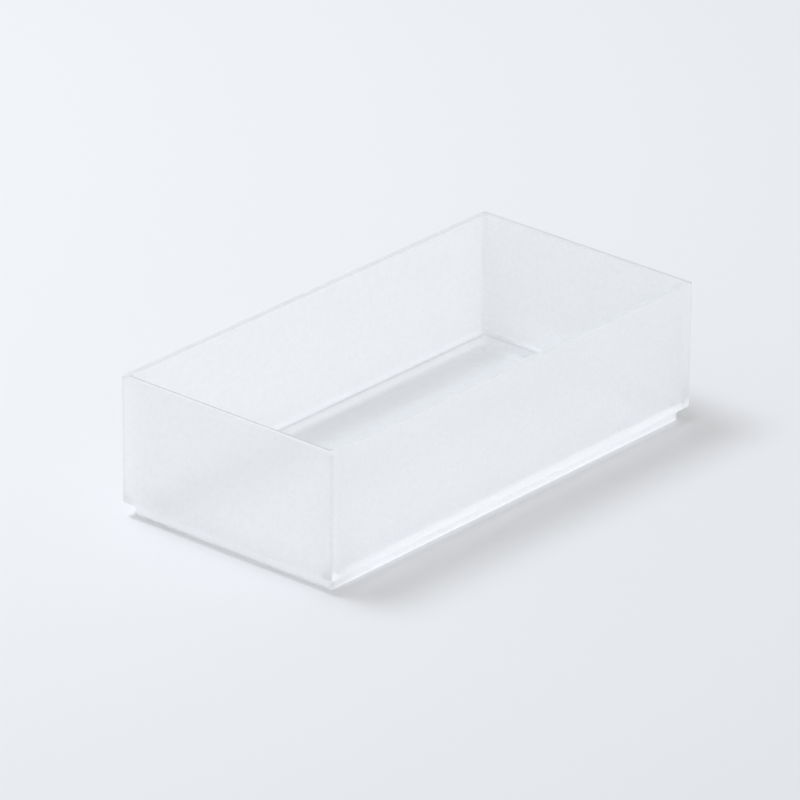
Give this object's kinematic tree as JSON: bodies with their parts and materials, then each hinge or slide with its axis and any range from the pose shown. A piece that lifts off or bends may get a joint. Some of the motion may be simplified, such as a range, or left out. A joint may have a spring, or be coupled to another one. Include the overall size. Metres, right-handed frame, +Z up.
{
  "type": "stacking storage box",
  "caption": "Open-topped rectangular storage box in frosted plastic, with plain upright walls and a stepped foot that seats inside the rim of a like box.",
  "frame": {"origin": "middle of the foot's underside, where the box rests on a table", "axes": "+X along the box's length, +Y across its width, +Z up towards the open rim"},
  "size_m": [0.15, 0.075, 0.0414],
  "materials": {
    "polypropylene": "frosted translucent natural polypropylene, moulded against a fine matt mould surface"
  },
  "bodies": {
    "root": {"box_body": "polypropylene"}
  },
  "joints": []
}
